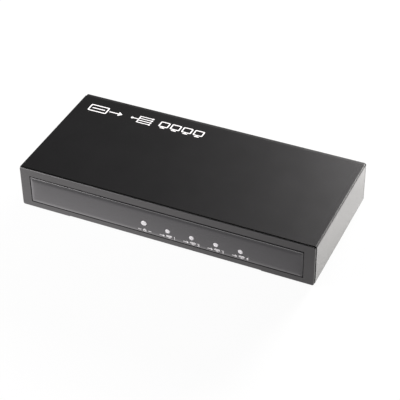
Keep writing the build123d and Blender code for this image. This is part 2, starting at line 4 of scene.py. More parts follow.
import bmesh
import bpy
from bpy.props import (
    FloatProperty,
    FloatVectorProperty,
    PointerProperty,
)
from mathutils import Matrix, Vector

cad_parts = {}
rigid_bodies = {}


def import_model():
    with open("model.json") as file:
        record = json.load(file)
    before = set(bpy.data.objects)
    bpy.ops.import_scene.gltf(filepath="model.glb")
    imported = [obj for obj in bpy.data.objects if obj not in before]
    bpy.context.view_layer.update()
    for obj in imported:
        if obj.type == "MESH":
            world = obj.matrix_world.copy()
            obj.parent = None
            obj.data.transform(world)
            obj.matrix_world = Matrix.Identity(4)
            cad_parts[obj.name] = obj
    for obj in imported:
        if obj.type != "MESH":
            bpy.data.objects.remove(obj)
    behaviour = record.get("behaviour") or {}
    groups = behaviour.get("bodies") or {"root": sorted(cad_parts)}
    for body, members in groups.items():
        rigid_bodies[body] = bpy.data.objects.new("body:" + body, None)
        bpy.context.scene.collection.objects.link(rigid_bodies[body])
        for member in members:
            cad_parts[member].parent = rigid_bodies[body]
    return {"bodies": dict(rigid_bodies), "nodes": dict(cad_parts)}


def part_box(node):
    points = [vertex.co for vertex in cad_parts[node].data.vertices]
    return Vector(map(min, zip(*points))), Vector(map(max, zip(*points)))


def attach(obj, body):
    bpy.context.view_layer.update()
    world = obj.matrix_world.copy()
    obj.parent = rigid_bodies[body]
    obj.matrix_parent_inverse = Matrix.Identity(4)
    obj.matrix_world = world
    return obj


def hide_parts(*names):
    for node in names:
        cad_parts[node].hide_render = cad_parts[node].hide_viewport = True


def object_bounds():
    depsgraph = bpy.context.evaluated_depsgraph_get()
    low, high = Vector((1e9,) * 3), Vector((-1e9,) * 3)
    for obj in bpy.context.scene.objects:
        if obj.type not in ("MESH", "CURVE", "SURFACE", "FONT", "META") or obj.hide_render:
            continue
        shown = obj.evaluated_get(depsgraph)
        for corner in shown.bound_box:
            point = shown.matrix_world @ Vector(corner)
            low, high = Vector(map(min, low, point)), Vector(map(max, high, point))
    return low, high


bl_info = {
    "name": "Video Splitter Box",
    "version": (1, 0, 0),
    "blender": (4, 5, 0),
    "location": "View3D > Sidebar > Splitter",
    "description": "Finishes, printing, lights and stage for a four-way video splitter box",
    "category": "Object",
}

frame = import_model()
nodes = frame["nodes"]
body = next(iter(frame["bodies"]))
cad_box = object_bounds()

MM = 0.001
OUTPUTS = 4

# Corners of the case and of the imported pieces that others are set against
case_low, case_high = cad_box
case_middle = (case_low + case_high) / 2
cover_low, cover_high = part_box("top_cover")
label_low, label_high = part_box("front_label")
power_window_low, power_window_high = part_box("power_window")
output_windows_low, output_windows_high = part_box("output_windows")

# Light windows: the collar behind the label, the rounded rim, and the gap in the label's hole
WINDOW_COLLAR = 0.6 * MM
WINDOW_COLLAR_DEPTH = 0.8 * MM
WINDOW_RIM = 0.1 * MM
WINDOW_RIM_SHARE = 0.3
WINDOW_RING_SHARES = (0.3, 0.55, 0.75, 0.9)
HOLE_GAP = 0.15 * MM

# Label: the seam over it, the shape of its edge and crown, and the steps of its grid
LABEL_SEAM = 0.45 * MM
label_top = label_high.z - LABEL_SEAM
EDGE_DROP_SHARE = 0.6
CROWN_RUN_SHARE = 4
EDGE_STEP_SHARES = (0.2, 0.45, 0.7, 1.0)
BLEND_STEP_SHARES = (-1, -0.5, 0, 0.5, 1)
LABEL_STEP_ALONG = 2.5 * MM
LABEL_STEP_UP = 0.7 * MM
FLAT_FOLD = 0.001 * MM
HOLE_PATCH = 3 * MM
HOLE_RINGS = 4

# Signs on the sleeve: margins from its left and rear edges, and each sign's start and width
SIGN_SIDE_MARGIN = 8.35 * MM
SIGN_REAR_MARGIN = 13.5 * MM
PLAYER_WIDTH = 21.6 * MM
FORK_START = 27.3 * MM
FORK_WIDTH = 13.6 * MM
SCREENS_START = 45.5 * MM
SCREENS_WIDTH = 27.8 * MM
SIGN_INSET_SHARE = 0.06
FORK_STROKE_SHARE = 0.8

# Signs on the rear bezel: how deep its face lies, how high each row of signs stands, their lines
# as a share of the small stroke, and the jack's sign as a share of the others' height
REAR_FACE_SINK = 0.2 * MM
SOCKET_SIGN_BOTTOM = 15.6 * MM
JACK_SIGN_BOTTOM = 20.6 * MM
REAR_STROKE_SHARE = 1.25
JACK_SIGN_SHARE = 0.8

# Open rings of the power sign and of the jack's sign: where each starts and ends, in degrees
POWER_RING = (130, 410)
JACK_RING = (50, 310)

# Numbers in the signs: how far their outline is swelled, as a share of their size, and the steps
# of their curves
NUMERAL_SWELL = 0.02
NUMERAL_STEPS = 4

# Captions: how far each kind stands to the right of its light, and how finely the ink is cut
POWER_SHIFT = 0.4 * MM
OUTPUT_SHIFT = 0.5 * MM
CAPTION_STEP = 0.25 * MM

# White floor: its flat part, the rim that curves up, and the painted pool of light that reflections
# see
FLOOR_RINGS = (0.3, 1.0, 2.2)
FLOOR_SIDES = 96
RIM_RADIUS = 0.7
RIM_TURN = math.radians(60)
RIM_STEPS = 8
PAPER_WHITE = 0.8
POOL_MIDDLE = (-0.10, -0.03)
POOL_SQUEEZE = 2.5
POOL_REACH = 0.30
POOL_COVER = 0.7

# Camera: the sensor in millimetres, and what is too near to be seen, in metres
SENSOR_WIDTH = 36
NEAR_CLIP = 0.01

# Lamps: where each stands, and its width and height
LAMPS = {
    "side_light": ((0.25, 1.10, 0.20), (0.4, 0.2)),
    "rear_light": ((0.12, 1.20, 0.28), (0.5, 0.3)),
    "front_light": ((-0.46, -0.26, 0.36), (0.4, 0.4)),
    "front_card": ((-0.42, -1.15, 0.30), (1.0, 0.5)),
}


# Settings that a user would change

class SplitterFinish(bpy.types.PropertyGroup):
    """Colours of the case and of its printing."""

    paint_colour: FloatVectorProperty(
        name="Paint", description="Colour of the painted sleeve",
        subtype="COLOR", size=3, min=0, max=1, default=(0.0055, 0.0055, 0.0058),
    )
    bezel_colour: FloatVectorProperty(
        name="Bezels", description="Colour of the moulded bezels",
        subtype="COLOR", size=3, min=0, max=1, default=(0.012, 0.012, 0.012),
    )
    label_colour: FloatVectorProperty(
        name="Label", description="Colour under the gloss of the front label",
        subtype="COLOR", size=3, min=0, max=1, default=(0.018, 0.018, 0.020),
    )
    window_colour: FloatVectorProperty(
        name="Light windows", description="Colour of the milky light windows",
        subtype="COLOR", size=3, min=0, max=1, default=(0.74, 0.74, 0.75),
    )
    ink_colour: FloatVectorProperty(
        name="Printing", description="Colour of the printed signs",
        subtype="COLOR", size=3, min=0, max=1, default=(0.76, 0.76, 0.76),
    )
    texture_depth: FloatProperty(
        name="Texture depth", description="Height of the fine grain in the paint",
        unit="LENGTH", subtype="DISTANCE", precision=6, min=0, default=0.000006,
    )


class SplitterFront(bpy.types.PropertyGroup):
    """Sizes of the label and of the light windows."""

    edge_height: FloatProperty(
        name="Edge height", description="Height of the label's upright edge",
        unit="LENGTH", subtype="DISTANCE", precision=5, min=0, default=0.0007,
    )
    edge_round: FloatProperty(
        name="Edge rounding", description="Width of the small rounding on the upright edge",
        unit="LENGTH", subtype="DISTANCE", precision=5, min=0.00001, default=0.00015,
    )
    slope_width: FloatProperty(
        name="Slope width", description="Width of the slope all round the label",
        unit="LENGTH", subtype="DISTANCE", precision=5, min=0, default=0.0014,
    )
    slope_blend: FloatProperty(
        name="Slope blend", description="Half the width over which the slope turns into the face",
        unit="LENGTH", subtype="DISTANCE", precision=5, min=0.00001, default=0.0011,
    )
    crown: FloatProperty(
        name="Crown", description="How far the middle of the label's face is domed",
        unit="LENGTH", subtype="DISTANCE", precision=5, min=0, default=0.0002,
    )
    lens_dome: FloatProperty(
        name="Window dome", description="How far the light windows are domed",
        unit="LENGTH", subtype="DISTANCE", precision=5, min=0, default=0.00005,
    )
    caption_height: FloatProperty(
        name="Caption height", description="Height of the signs under the lights",
        unit="LENGTH", subtype="DISTANCE", precision=5, min=0, default=0.0021,
    )
    caption_bottom: FloatProperty(
        name="Caption place", description="Height of the captions' lower edge over the table",
        unit="LENGTH", subtype="DISTANCE", precision=5, min=0, default=0.0060,
    )


class SplitterPrinting(bpy.types.PropertyGroup):
    """Sizes of the printed signs."""

    ink_thickness: FloatProperty(
        name="Ink thickness", description="Thickness of the printed ink",
        unit="LENGTH", subtype="DISTANCE", precision=6, min=0, default=0.00003,
    )
    top_stroke: FloatProperty(
        name="Top stroke", description="Width of the lines printed on the sleeve",
        unit="LENGTH", subtype="DISTANCE", precision=5, min=0, default=0.00075,
    )
    top_height: FloatProperty(
        name="Top sign height", description="Height of the signs on the sleeve",
        unit="LENGTH", subtype="DISTANCE", precision=5, min=0, default=0.0073,
    )
    small_stroke: FloatProperty(
        name="Small stroke", description="Width of the lines of the small signs",
        unit="LENGTH", subtype="DISTANCE", precision=5, min=0, default=0.00052,
    )
    rear_height: FloatProperty(
        name="Rear sign height", description="Height of the signs over the sockets",
        unit="LENGTH", subtype="DISTANCE", precision=5, min=0, default=0.0030,
    )


class SplitterStage(bpy.types.PropertyGroup):
    """Camera, lamps, room and floor."""

    lens: FloatProperty(
        name="Lens", description="Focal length on a 36 mm sensor, in millimetres",
        unit="CAMERA", subtype="DISTANCE_CAMERA", min=1, default=120.918,
    )
    distance: FloatProperty(
        name="Distance", description="From the aim point to the camera",
        unit="LENGTH", subtype="DISTANCE", precision=4, min=0, default=0.7418,
    )
    azimuth: FloatProperty(
        name="Azimuth", description="Turn of the camera round the box, from its front",
        unit="ROTATION", subtype="ANGLE", default=math.radians(24.892),
    )
    elevation: FloatProperty(
        name="Elevation", description="Height of the camera over the table",
        unit="ROTATION", subtype="ANGLE", default=math.radians(38.107),
    )
    roll: FloatProperty(
        name="Roll", description="Tilt of the camera about its own axis",
        unit="ROTATION", subtype="ANGLE", default=math.radians(-0.848),
    )
    aim: FloatVectorProperty(
        name="Aim", description="Point that the camera looks at",
        unit="LENGTH", subtype="XYZ", size=3, default=(0.00933, -0.01113, 0.01289),
    )
    side_light: FloatProperty(
        name="Side light", description="Power of the low light behind on the right",
        unit="POWER", min=0, default=42.0,
    )
    rear_light: FloatProperty(
        name="Rear light", description="Power of the wider light behind the box",
        unit="POWER", min=0, default=46.0,
    )
    front_light: FloatProperty(
        name="Front light", description="Power of the soft light in front on the left",
        unit="POWER", min=0, default=5.0,
    )
    front_card: FloatProperty(
        name="Front card", description="Power of the weak light low in front on the left",
        unit="POWER", min=0, default=4.0,
    )
    room_level: FloatProperty(
        name="Room level", description="Brightness of the dark room",
        subtype="FACTOR", min=0, max=1, default=0.02,
    )
    floor_glow: FloatProperty(
        name="Floor glow", description="Least white that reflections see in the floor",
        min=0, max=2, default=0.3,
    )
    # Painted light in the floor: a pool of glow at the box's left front and an even glow on its right,
    # seen only in reflections
    floor_pool: FloatProperty(
        name="Floor pool", description="What a pool of light at the box's left front adds to it",
        min=0, max=2, default=0.9,
    )
    side_glow: FloatProperty(
        name="Side glow", description="White that reflections see in the floor on the right",
        min=0, max=2, default=0.53,
    )
    # The lamp tint also colours the pool of light painted into the floor
    lamp_tint: FloatVectorProperty(
        name="Lamp tint", description="Colour of the lamps and of their pool on the floor",
        subtype="COLOR", size=3, min=0, max=1, default=(1.0, 0.965, 0.98),
    )
    side_tint: FloatVectorProperty(
        name="Side tint", description="Colour of the side light and of the side glow",
        subtype="COLOR", size=3, min=0, max=1, default=(1.0, 0.99, 0.955),
    )
    floor_white: FloatProperty(
        name="Floor white", description="Share of plain white in the floor that the lens sees",
        subtype="FACTOR", min=0, max=1, default=0.94,
    )


# Materials: sizes and depths are in metres, and low and high are the ends of the roughness

# Most values of a noise lie between these two
NOISE_LOW = 0.3
NOISE_HIGH = 0.7


class Finish:
    """A node material under construction, with one Principled shader."""

    def __init__(self, name, **values):
        """Starts a material. The values are shader sockets, in lower case with underscores."""
        self.material = bpy.data.materials.new(name)
        self.material.use_nodes = True
        self.tree = self.material.node_tree
        self.tree.nodes.clear()
        self.shader = self.add("ShaderNodeBsdfPrincipled")
        output = self.add("ShaderNodeOutputMaterial")
        self.join(self.shader.outputs["BSDF"], output.inputs["Surface"])
        self.place = self.add("ShaderNodeTexCoord").outputs["Object"]
        sockets = {socket.name.lower().replace(" ", "_"): socket for socket in self.shader.inputs}
        for socket_name, value in values.items():
            sockets[socket_name].default_value = value

    def add(self, kind):
        return self.tree.nodes.new(kind)

    def join(self, source, target):
        self.tree.links.new(source, target)

    def stretched(self, scale):
        """The object's own coordinates, scaled along each axis."""
        mapping = self.add("ShaderNodeMapping")
        mapping.inputs["Scale"].default_value = scale
        self.join(self.place, mapping.inputs["Vector"])
        return mapping.outputs["Vector"]

    def noise(self, size, detail, place=None):
        """A noise whose lumps are about size metres wide."""
        node = self.add("ShaderNodeTexNoise")
        node.inputs["Scale"].default_value = 1 / size
        node.inputs["Detail"].default_value = detail
        self.join(place or self.place, node.inputs["Vector"])
        return node.outputs["Fac"]

    def cells(self, size):
        """Cells about size metres wide."""
        node = self.add("ShaderNodeTexVoronoi")
        node.inputs["Scale"].default_value = 1 / size
        self.join(self.place, node.inputs["Vector"])
        return node.outputs["Distance"]

    def ramp(self, factor, stops):
        """Colours along a factor, from two stops of a place and a colour."""
        node = self.add("ShaderNodeValToRGB")
        for element, (position, colour) in zip(node.color_ramp.elements, stops):
            element.position = position
            element.color = (*colour, 1.0)
        self.join(factor, node.inputs["Fac"])
        return node.outputs["Color"]

    def spread(self, factor, low, high):
        """A factor spread over low to high."""
        node = self.add("ShaderNodeMapRange")
        node.inputs["From Min"].default_value = NOISE_LOW
        node.inputs["From Max"].default_value = NOISE_HIGH
        node.inputs["To Min"].default_value = low
        node.inputs["To Max"].default_value = high
        self.join(factor, node.inputs["Value"])
        return node.outputs["Result"]

    def bump(self, height, depth, below=None):
        """Adds surface relief of a depth in metres, on top of an earlier one."""
        node = self.add("ShaderNodeBump")
        node.inputs["Distance"].default_value = depth
        self.join(height, node.inputs["Height"])
        if below is not None:
            self.join(below, node.inputs["Normal"])
        self.join(node.outputs["Normal"], self.shader.inputs["Normal"])
        return node.outputs["Normal"]

    def mottle(self, colour, change, size, detail):
        """Base colour that varies by a share about one colour, in clouds of a size."""
        dark = [c * (1 - change) for c in colour]
        light = [min(1.0, c * (1 + change)) for c in colour]
        stops = [(NOISE_LOW, dark), (NOISE_HIGH, light)]
        self.join(self.ramp(self.noise(size, detail), stops), self.shader.inputs["Base Color"])

    def sheen(self, low, high, size, detail, place=None):
        """Roughness from low to high, in patches of a size."""
        patches = self.spread(self.noise(size, detail, place), low, high)
        self.join(patches, self.shader.inputs["Roughness"])

    def relief(self, depth, size, detail, place=None, below=None):
        """Bumps of a depth and a size."""
        return self.bump(self.noise(size, detail, place), depth, below)


def satin_paint(colour, depth):
    """Black satin paint on sheet metal: a fine orange peel and faint clouds."""
    finish = Finish(
        "satin_black_paint", specular_ior_level=0.9, coat_weight=0.25, coat_roughness=0.35
    )
    finish.mottle(colour, change=0.12, size=0.03, detail=4)
    finish.sheen(0.232, 0.244, size=0.012, detail=5)
    peel = finish.relief(depth, size=0.0009, detail=2)
    finish.relief(depth / 3, size=0.00025, detail=2, below=peel)
    return finish.material


def moulded_black(name, colour, low=0.42, high=0.52, shine=0.55, coat=0.0):
    """Moulded black plastic with a fine spark-eroded grain."""
    finish = Finish(name, specular_ior_level=shine, coat_weight=coat, coat_roughness=low)
    finish.mottle(colour, change=0.1, size=0.015, detail=4)
    finish.sheen(low, high, size=0.006, detail=4)
    grain = finish.relief(0.000006, size=0.00022, detail=3)
    finish.relief(0.00001, size=0.004, detail=2, below=grain)
    return finish.material


def glossy_label(colour):
    """Glossy black panel: nearly a mirror, with faint wipe marks."""
    finish = Finish(
        "glossy_black_label", specular_ior_level=0.75, coat_weight=0.5, coat_roughness=0.04
    )
    finish.mottle(colour, change=0.08, size=0.02, detail=3)
    marks = finish.stretched((1.0, 1.0, 6.0))
    finish.sheen(0.08, 0.16, size=0.02, detail=6, place=marks)
    finish.relief(0.000003, size=0.006, detail=1)
    return finish.material


def milky_window(name, colour):
    """Milky clear plastic that spreads the light of a lamp."""
    finish = Finish(
        name, subsurface_weight=0.35, subsurface_scale=0.0012, subsurface_radius=(1.0, 1.0, 1.0)
    )
    finish.mottle(colour, change=0.06, size=0.0011, detail=3)
    finish.sheen(0.22, 0.34, size=0.0008, detail=3)
    finish.relief(0.000004, size=0.0005, detail=2)
    return finish.material


def printed_ink(colour):
    """White screen-printed ink, with the fine unevenness of its mesh."""
    finish = Finish("printed_ink", specular_ior_level=0.4)
    finish.mottle(colour, change=0.06, size=0.0012, detail=4)
    finish.sheen(0.48, 0.6, size=0.0007, detail=3)
    finish.relief(0.000003, size=0.0002, detail=2)
    return finish.material


def plated_steel(name, colour, low=0.28, high=0.4):
    """Plated steel with faint rolling lines and cloudy patches."""
    finish = Finish(name, metallic=1.0)
    finish.mottle(colour, change=0.1, size=0.008, detail=5)
    lines = finish.stretched((1.0, 14.0, 14.0))
    finish.sheen(low, high, size=0.01, detail=5, place=lines)
    finish.relief(0.000003, size=0.004, detail=4, place=lines)
    return finish.material


def black_oxide():
    """Black oxide on steel screws."""
    finish = Finish("black_oxide", metallic=0.6)
    finish.mottle((0.045, 0.043, 0.045), change=0.25, size=0.0012, detail=4)
    finish.sheen(0.34, 0.5, size=0.0008, detail=4)
    finish.relief(0.000004, size=0.0003, detail=3)
    return finish.material


def foot_rubber():
    """Soft black rubber with a dusty bloom."""
    finish = Finish("foot_rubber", specular_ior_level=0.3, sheen_weight=0.15)
    finish.mottle((0.03, 0.03, 0.031), change=0.3, size=0.0025, detail=5)
    finish.sheen(0.7, 0.85, size=0.001, detail=4)
    finish.relief(0.00001, size=0.0003, detail=4)
    return finish.material


def solder_mask():
    """Green solder mask over copper tracks on a circuit board."""
    finish = Finish("solder_mask", specular_ior_level=0.5)
    tracks = finish.add("ShaderNodeTexBrick")
    tracks.inputs["Scale"].default_value = 160
    tracks.inputs["Mortar Size"].default_value = 0.03
    tracks.inputs["Color1"].default_value = (0.012, 0.13, 0.05, 1)
    tracks.inputs["Color2"].default_value = (0.016, 0.16, 0.062, 1)
    tracks.inputs["Mortar"].default_value = (0.035, 0.27, 0.11, 1)
    finish.join(finish.place, tracks.inputs["Vector"])
    finish.join(tracks.outputs["Color"], finish.shader.inputs["Base Color"])
    finish.sheen(0.24, 0.36, size=0.004, detail=4)
    finish.bump(tracks.outputs["Fac"], depth=0.00002)
    return finish.material


def soft_metal(name, colour, low, high):
    """Plain or plated metal, slightly uneven."""
    finish = Finish(name, metallic=1.0)
    finish.mottle(colour, change=0.08, size=0.0018, detail=4)
    finish.sheen(low, high, size=0.0009, detail=4)
    finish.relief(0.000004, size=0.0006, detail=3)
    return finish.material


def moulded_epoxy():
    """Dull moulded epoxy of a chip."""
    finish = Finish("chip_epoxy", specular_ior_level=0.4)
    finish.mottle((0.028, 0.028, 0.029), change=0.25, size=0.0007, detail=5)
    finish.sheen(0.5, 0.66, size=0.0005, detail=4)
    finish.relief(0.000008, size=0.00012, detail=3)
    return finish.material


def silicone_pad():
    """Soft grey silicone."""
    finish = Finish("silicone_pad", subsurface_weight=0.1, subsurface_scale=0.0004)
    finish.mottle((0.5, 0.5, 0.52), change=0.1, size=0.001, detail=4)
    finish.sheen(0.6, 0.75, size=0.0006, detail=3)
    finish.relief(0.00001, size=0.0004, detail=3)
    return finish.material


def small_ceramic():
    """Small ceramic parts with a pale speckle."""
    finish = Finish("small_ceramic", specular_ior_level=0.5)
    speckle = finish.cells(size=0.0006)
    stops = [(0.25, (0.05, 0.045, 0.04)), (0.6, (0.16, 0.13, 0.10))]
    finish.join(finish.ramp(speckle, stops), finish.shader.inputs["Base Color"])
    finish.sheen(0.35, 0.55, size=0.0004, detail=3)
    finish.bump(speckle, depth=0.00001)
    return finish.material


def white_floor(stage):
    """White paper that takes shadows. The lens sees it whiter; reflections see a painted pool and
    glow.
    """
    material = bpy.data.materials.new("white_floor")
    material.use_nodes = True
    material.cycles.emission_sampling = "NONE"
    tree = material.node_tree
    tree.nodes.clear()
    join = tree.links.new

    def maths(operation, *terms):
        """A maths node over values that are sockets or numbers."""
        result = tree.nodes.new("ShaderNodeMath")
        result.operation = operation
        for socket, term in zip(result.inputs, terms):
            if isinstance(term, float):
                socket.default_value = term
            else:
                join(term, socket)
        return result.outputs["Value"]

    def lit(shader, strength, colour):
        """Adds an even light of its own to a shader."""
        light = tree.nodes.new("ShaderNodeEmission")
        light.inputs["Color"].default_value = (*colour, 1)
        join(strength, light.inputs["Strength"])
        both = tree.nodes.new("ShaderNodeAddShader")
        join(shader, both.inputs[0])
        join(light.outputs["Emission"], both.inputs[1])
        return both.outputs["Shader"]

    # Rays from the lens, and rays off gloss or through clear pieces
    path = tree.nodes.new("ShaderNodeLightPath")
    seen = maths("MULTIPLY", path.outputs["Is Camera Ray"], stage.floor_white)
    mirrored = maths("MAXIMUM", path.outputs["Is Glossy Ray"], path.outputs["Is Transmission Ray"])

    # A pool of light painted into the floor at the box's left front, shorter from front to back than
    # it is wide
    place = tree.nodes.new("ShaderNodeTexCoord")
    spot = tree.nodes.new("ShaderNodeMapping")
    spot.inputs["Location"].default_value = (-POOL_MIDDLE[0], -POOL_MIDDLE[1] * POOL_SQUEEZE, 0)
    spot.inputs["Scale"].default_value = (1, POOL_SQUEEZE, 1)
    join(place.outputs["Object"], spot.inputs["Vector"])
    distance = tree.nodes.new("ShaderNodeVectorMath")
    distance.operation = "LENGTH"
    join(spot.outputs["Vector"], distance.inputs[0])
    pool = tree.nodes.new("ShaderNodeMapRange")
    pool.interpolation_type = "SMOOTHSTEP"
    pool.inputs["From Max"].default_value = POOL_REACH
    pool.inputs["To Min"].default_value = stage.floor_glow + stage.floor_pool
    pool.inputs["To Max"].default_value = stage.floor_glow
    join(distance.outputs["Value"], pool.inputs["Value"])

    # The floor on the box's right has an even painted glow of its own in place of the pool
    sides = tree.nodes.new("ShaderNodeSeparateXYZ")
    join(place.outputs["Object"], sides.inputs["Vector"])
    beside = maths("GREATER_THAN", sides.outputs["X"], case_high.x)
    behind = maths("GREATER_THAN", sides.outputs["Y"], case_low.y)
    mirrored_right = maths("MULTIPLY", mirrored, maths("MULTIPLY", beside, behind))
    mirrored_left = maths("SUBTRACT", mirrored, mirrored_right)

    # Paper that gives way to white for the lens and to the painted lights for reflections
    paper = tree.nodes.new("ShaderNodeBsdfDiffuse")
    paper.inputs["Color"].default_value = (PAPER_WHITE, PAPER_WHITE, PAPER_WHITE, 1)
    faded = tree.nodes.new("ShaderNodeMixShader")
    join(maths("ADD", seen, maths("MULTIPLY", mirrored_left, POOL_COVER)), faded.inputs["Fac"])
    join(paper.outputs["BSDF"], faded.inputs[1])
    surface = lit(faded.outputs["Shader"], seen, (1, 1, 1))
    surface = lit(surface, maths("MULTIPLY", mirrored_left, pool.outputs["Result"]), stage.lamp_tint)
    surface = lit(surface, maths("MULTIPLY", mirrored_right, stage.side_glow), stage.side_tint)
    output = tree.nodes.new("ShaderNodeOutputMaterial")
    join(surface, output.inputs["Surface"])
    return material


# Making and dressing pieces

def dress(name, material):
    """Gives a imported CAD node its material. A missing node stops the script."""
    if name not in nodes:
        raise RuntimeError(f"the frame has no node named {name}")
    target = nodes[name]
    if not target.material_slots:
        target.data.materials.append(material)
    for slot in target.material_slots:
        slot.material = material


def bridge(build, first, second):
    """A ring of faces between two closed loops with as many vertices each."""
    for here, there in zip(range(-1, len(first) - 1), range(len(first))):
        build.faces.new((first[here], first[there], second[there], second[here]))


def finished_piece(name, build, material, replaced=(), sharp=math.radians(35)):
    """Turns a bmesh into a named piece that rides on the body."""
    bmesh.ops.recalc_face_normals(build, faces=build.faces)
    mesh = bpy.data.meshes.new(name)
    build.to_mesh(mesh)
    build.free()
    mesh.shade_smooth()
    mesh.set_sharp_from_angle(angle=sharp)
    mesh.materials.append(material)
    piece = bpy.data.objects.new(name, mesh)
    bpy.context.scene.collection.objects.link(piece)
    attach(piece, body)
    if replaced:
        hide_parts(*replaced)
    return piece


# Printed signs, drawn flat as closed outlines

def rectangle(x0, z0, x1, z1):
    return [(x0, z0), (x1, z0), (x1, z1), (x0, z1)]


def rounded_rectangle(x0, z0, x1, z1, radius, steps=5):
    """A rectangle with round corners, anticlockwise from its lower right corner."""
    centres = [(x1 - radius, z0 + radius), (x1 - radius, z1 - radius)]
    centres += [(x0 + radius, z1 - radius), (x0 + radius, z0 + radius)]
    outline = []
    for quarter, (x, z) in enumerate(centres):
        for step in range(steps + 1):
            angle = math.radians(90) * (quarter - 1 + step / steps)
            outline.append((x + radius * math.cos(angle), z + radius * math.sin(angle)))
    return outline


def arc_points(x, z, radius, start, end, steps=20):
    """Points along an arc, with angles in degrees."""
    angles = [math.radians(start + (end - start) * step / steps) for step in range(steps + 1)]
    return [(x + radius * math.cos(angle), z + radius * math.sin(angle)) for angle in angles]


def disc(x, z, radius, steps=24):
    return arc_points(x, z, radius, 0, 360, steps)[:-1]


class Sign:
    """A flat sign: closed outlines, and frames made of an outer and an inner outline."""

    def __init__(self):
        self.areas = []
        self.frames = []

    def area(self, outline):
        self.areas.append(outline)

    def frame(self, x0, z0, x1, z1, stroke, radius):
        """A rounded rectangular frame."""
        outer = rounded_rectangle(x0, z0, x1, z1, radius)
        inner_radius = max(radius - stroke, radius / 4)
        inner = rounded_rectangle(x0 + stroke, z0 + stroke, x1 - stroke, z1 - stroke, inner_radius)
        self.frames.append((outer, inner))

    def open_ring(self, x, z, radius, stroke, start, end):
        """A part of a ring, between two angles in degrees."""
        outer = arc_points(x, z, radius, start, end)
        inner = arc_points(x, z, radius - stroke, end, start)
        self.area(outer + inner)

    def line(self, x0, x1, z, stroke):
        """A level line."""
        self.area(rectangle(x0, z - stroke / 2, x1, z + stroke / 2))

    def arrow(self, x0, x1, z, stroke, head):
        """An arrow to the right."""
        neck = x1 - head
        half = stroke / 2
        spread = head * 0.8
        self.area([
            (x0, z - half), (neck, z - half), (neck, z - spread), (x1, z),
            (neck, z + spread), (neck, z + half), (x0, z + half),
        ])

    def screen(self, x0, z0, x1, z1, stroke):
        """A screen on a foot."""
        foot = stroke * 0.9
        neck = stroke * 0.8
        corner = stroke * 1.1
        bottom = z0 + foot + neck
        middle = (x0 + x1) / 2
        spread = (x1 - x0) * 0.24
        self.frame(x0, bottom, x1, z1, stroke, corner)
        self.area(rectangle(middle - foot / 2, z0 + foot, middle + foot / 2, bottom))
        self.area(rectangle(middle - spread, z0, middle + spread, z0 + foot))


def ink(build, sign, thickness, place, levels=()):
    """Adds a sign as thin ink. place turns (u, v, height) into a point on the box.
    levels are heights v where the ink is cut, so that it can follow a curved face."""
    flat = bmesh.new()
    for outline in sign.areas:
        low = [flat.verts.new((u, v, 0)) for u, v in outline]
        high = [flat.verts.new((u, v, thickness)) for u, v in outline]
        flat.faces.new(low)
        flat.faces.new(high)
        bridge(flat, low, high)
    for outer, inner in sign.frames:
        loops = [
            [flat.verts.new((u, v, height)) for u, v in outline]
            for outline, height in ((outer, 0), (outer, thickness), (inner, thickness), (inner, 0))
        ]
        for first, second in zip(loops, loops[1:] + loops[:1]):
            bridge(flat, first, second)
    for level in levels:
        geometry = flat.verts[:] + flat.edges[:] + flat.faces[:]
        bmesh.ops.bisect_plane(flat, geom=geometry, plane_co=(0, level, 0), plane_no=(0, 1, 0))
    for vertex in flat.verts:
        vertex.co = place(*vertex.co)
    join_into(build, flat)


def print_signs(signs, settings, material, place, levels=()):
    """Prints each named sign as a piece of its own."""
    for name, sign in signs.items():
        build = bmesh.new()
        ink(build, sign, settings.ink_thickness, place, levels)
        finished_piece(name, build, material)


def join_into(build, other):
    """Moves a bmesh into another one."""
    mesh = bpy.data.meshes.new("joined")
    other.to_mesh(mesh)
    other.free()
    build.from_mesh(mesh)
    bpy.data.meshes.remove(mesh)


def numeral(number, height, x, z):
    """A plain printed number as flat outlines, its middle over x and its foot on z."""
    curve = bpy.data.curves.new("numeral", "FONT")
    curve.body = str(number)
    curve.size = 1.0
    curve.offset = NUMERAL_SWELL
    curve.resolution_u = NUMERAL_STEPS
    holder = bpy.data.objects.new("numeral", curve)
    mesh = bpy.data.meshes.new_from_object(holder)
    flat = bmesh.new()
    flat.from_mesh(mesh)
    bmesh.ops.dissolve_limit(
        flat, angle_limit=math.radians(1), verts=flat.verts[:], edges=flat.edges[:]
    )
    low_x = min(vertex.co.x for vertex in flat.verts)
    high_x = max(vertex.co.x for vertex in flat.verts)
    low_y = min(vertex.co.y for vertex in flat.verts)
    high_y = max(vertex.co.y for vertex in flat.verts)
    scale = height / (high_y - low_y)
    sign = Sign()
    for face in flat.faces:
        points = [vertex.co for vertex in face.verts]
        sign.area([
            (x + (p.x - (low_x + high_x) / 2) * scale, z + (p.y - low_y) * scale) for p in points
        ])
    flat.free()
    bpy.data.objects.remove(holder)
    bpy.data.curves.remove(curve)
    bpy.data.meshes.remove(mesh)
    return sign


# The front label

def window_places():
    """The middle and radius of every light window, from left to right."""
    power = (power_window_low + power_window_high) / 2
    output = (output_windows_low + output_windows_high) / 2
    places = [(power.x, power.z, (power_window_high.x - power_window_low.x) / 2 - WINDOW_COLLAR)]
    collar_radius = (output_windows_high.z - output_windows_low.z) / 2
    first = output_windows_low.x + collar_radius
    last = output_windows_high.x - collar_radius
    for number in range(OUTPUTS):
        x = first + (last - first) * number / (OUTPUTS - 1)
        places.append((x, output.z, collar_radius - WINDOW_COLLAR))
    return places


